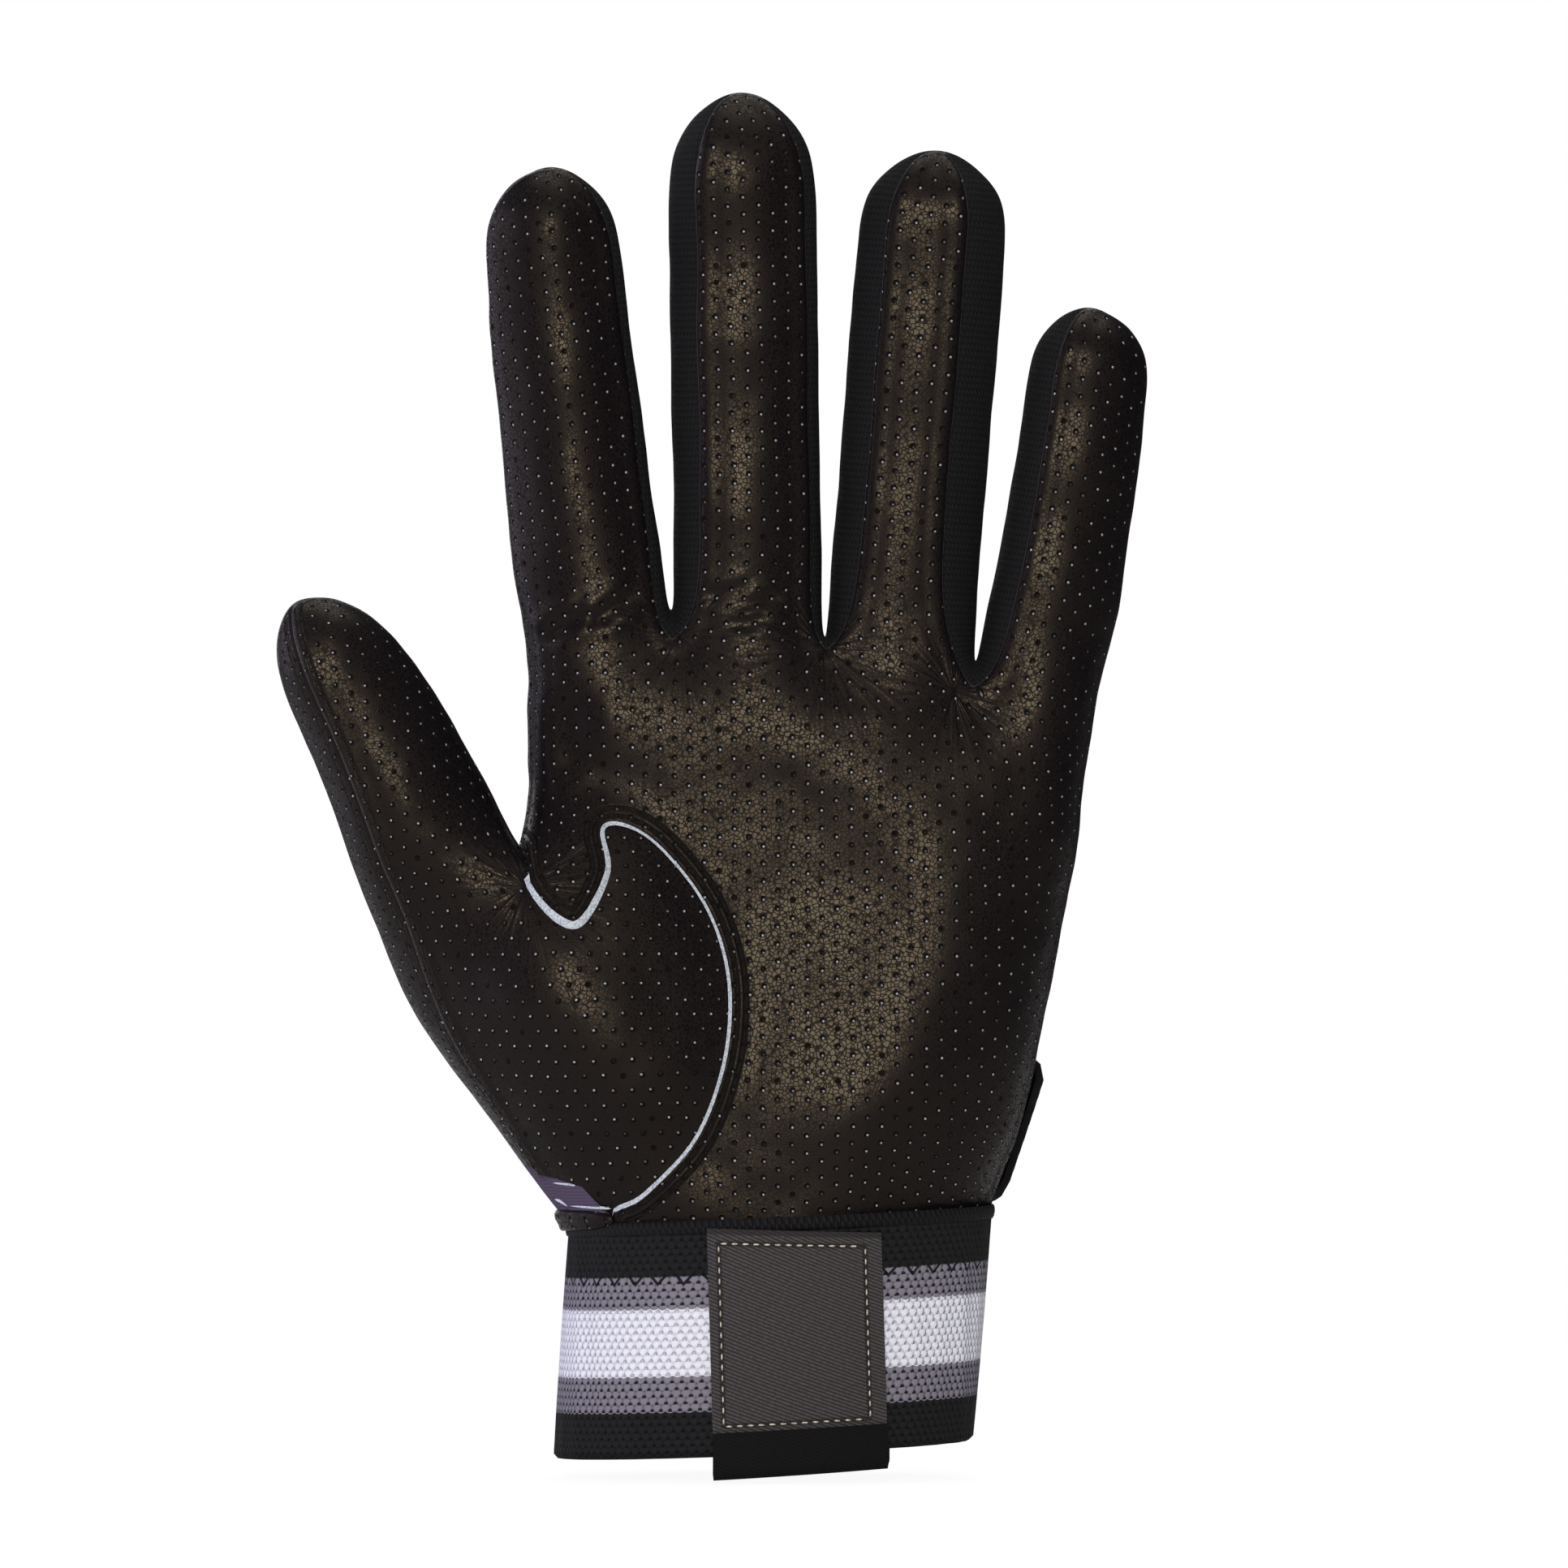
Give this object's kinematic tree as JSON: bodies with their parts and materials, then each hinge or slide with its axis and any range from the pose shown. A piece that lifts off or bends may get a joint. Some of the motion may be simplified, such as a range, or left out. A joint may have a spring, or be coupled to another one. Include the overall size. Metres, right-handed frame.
{
  "type": "batting glove",
  "caption": "Left-hand batting glove with perforated leather palm, stretch back, knitted finger gussets, hook-and-loop wrist strap and striped elastic cuff.",
  "frame": {"origin": "centre of the cuff's mouth, on the plane of its lower rim", "axes": "+Z from the wrist to the fingertips, -Y out of the palm, -X to the thumb's side"},
  "size_m": [0.1411, 0.0445, 0.226],
  "materials": {
    "leather": "perforated, satin",
    "back_knit": "fine stretch knit",
    "gusset_knit": "stretch knit",
    "elastic_knit": "knitted elastic with black, grey and white bands",
    "label_twill": "woven twill",
    "woven_insert": "fine plain weave",
    "strap": "coated fabric",
    "fastener": "hook and loop"
  },
  "bodies": {
    "glove_body": {"palm_leather": "leather", "thumb_ball_leather": "leather", "back_panel": "back_knit", "wrist_insert": "woven_insert", "index_middle_web": "gusset_knit", "middle_ring_web": "gusset_knit", "ring_pinky_web": "gusset_knit", "wrist_elastic": "elastic_knit", "pull_tab": "label_twill", "loop_patch": "fastener", "strap_sewn_end": "strap"},
    "index_base": {"index_base_leather": "leather", "index_base_back": "back_knit", "index_base_gusset_pinky_side": "gusset_knit"},
    "index_mid": {"index_mid_leather": "leather", "index_mid_back": "back_knit", "index_mid_gusset_pinky_side": "gusset_knit"},
    "index_tip": {"index_tip_leather": "leather", "index_tip_back": "back_knit", "index_tip_gusset_pinky_side": "gusset_knit"},
    "middle_base": {"middle_base_leather": "leather", "middle_base_back": "back_knit", "middle_base_gusset_thumb_side": "gusset_knit", "middle_base_gusset_pinky_side": "gusset_knit"},
    "middle_mid": {"middle_mid_leather": "leather", "middle_mid_back": "back_knit", "middle_mid_gusset_thumb_side": "gusset_knit", "middle_mid_gusset_pinky_side": "gusset_knit"},
    "middle_tip": {"middle_tip_leather": "leather", "middle_tip_back": "back_knit", "middle_tip_gusset_thumb_side": "gusset_knit", "middle_tip_gusset_pinky_side": "gusset_knit"},
    "ring_base": {"ring_base_leather": "leather", "ring_base_back": "back_knit", "ring_base_gusset_thumb_side": "gusset_knit", "ring_base_gusset_pinky_side": "gusset_knit"},
    "ring_mid": {"ring_mid_leather": "leather", "ring_mid_back": "back_knit", "ring_mid_gusset_thumb_side": "gusset_knit", "ring_mid_gusset_pinky_side": "gusset_knit"},
    "ring_tip": {"ring_tip_leather": "leather", "ring_tip_back": "back_knit", "ring_tip_gusset_thumb_side": "gusset_knit", "ring_tip_gusset_pinky_side": "gusset_knit"},
    "pinky_base": {"pinky_base_leather": "leather", "pinky_base_back": "back_knit", "pinky_base_gusset_thumb_side": "gusset_knit"},
    "pinky_mid": {"pinky_mid_leather": "leather", "pinky_mid_back": "back_knit", "pinky_mid_gusset_thumb_side": "gusset_knit"},
    "pinky_tip": {"pinky_tip_leather": "leather", "pinky_tip_back": "back_knit", "pinky_tip_gusset_thumb_side": "gusset_knit"},
    "thumb_base": {"thumb_base_leather": "leather", "thumb_base_back": "back_knit"},
    "thumb_tip": {"thumb_tip_leather": "leather", "thumb_tip_back": "back_knit"},
    "strap": {"closure_strap": "strap", "hook_patch": "fastener"}
  },
  "joints": [
    {"name": "index_base_bend", "type": "hinge", "parent": "glove_body", "child": "index_base", "pos_m": [-0.0274, -0.0093, 0.141], "axis": [1, 0, 0], "range_deg": [0, 75]},
    {"name": "index_mid_bend", "type": "hinge", "parent": "index_base", "child": "index_mid", "pos_m": [-0.0306, -0.00906, 0.166], "axis": [1, 0, 0], "range_deg": [0, 85]},
    {"name": "index_tip_bend", "type": "hinge", "parent": "index_mid", "child": "index_tip", "pos_m": [-0.033, -0.00947, 0.188], "axis": [1, 0, 0], "range_deg": [0, 50]},
    {"name": "middle_base_bend", "type": "hinge", "parent": "glove_body", "child": "middle_base", "pos_m": [-0.0027, -0.00936, 0.139], "axis": [1, 0, 0], "range_deg": [0, 75]},
    {"name": "middle_mid_bend", "type": "hinge", "parent": "middle_base", "child": "middle_mid", "pos_m": [-0.0032, -0.00929, 0.169], "axis": [1, 0, 0], "range_deg": [0, 85]},
    {"name": "middle_tip_bend", "type": "hinge", "parent": "middle_mid", "child": "middle_tip", "pos_m": [-0.0037, -0.00979, 0.196], "axis": [1, 0, 0], "range_deg": [0, 50]},
    {"name": "ring_base_bend", "type": "hinge", "parent": "glove_body", "child": "ring_base", "pos_m": [0.0224, -0.00916, 0.137], "axis": [1, 0, 0], "range_deg": [0, 75]},
    {"name": "ring_mid_bend", "type": "hinge", "parent": "ring_base", "child": "ring_mid", "pos_m": [0.025, -0.00897, 0.165], "axis": [1, 0, 0], "range_deg": [0, 85]},
    {"name": "ring_tip_bend", "type": "hinge", "parent": "ring_mid", "child": "ring_tip", "pos_m": [0.027, -0.00951, 0.19], "axis": [1, 0, 0], "range_deg": [0, 50]},
    {"name": "pinky_base_bend", "type": "hinge", "parent": "glove_body", "child": "pinky_base", "pos_m": [0.0456, -0.00866, 0.133], "axis": [1, 0, 0], "range_deg": [0, 75]},
    {"name": "pinky_mid_bend", "type": "hinge", "parent": "pinky_base", "child": "pinky_mid", "pos_m": [0.0492, -0.00854, 0.153], "axis": [1, 0, 0], "range_deg": [0, 85]},
    {"name": "pinky_tip_bend", "type": "hinge", "parent": "pinky_mid", "child": "pinky_tip", "pos_m": [0.0516, -0.00885, 0.17], "axis": [1, 0, 0], "range_deg": [0, 50]},
    {"name": "thumb_base_bend", "type": "hinge", "parent": "glove_body", "child": "thumb_base", "pos_m": [-0.05499, -0.0155, 0.09666], "axis": [0.8942, 0, 0.4478], "range_deg": [0, 35]},
    {"name": "thumb_tip_bend", "type": "hinge", "parent": "thumb_base", "child": "thumb_tip", "pos_m": [-0.06529, -0.0162, 0.11723], "axis": [0.8942, 0, 0.4478], "range_deg": [0, 60]},
    {"name": "strap_peel", "type": "hinge", "parent": "glove_body", "child": "strap", "pos_m": [-0.01855, 0.02025, 0.05325], "axis": [0, 0, 1], "range_deg": [0, 110]}
  ]
}
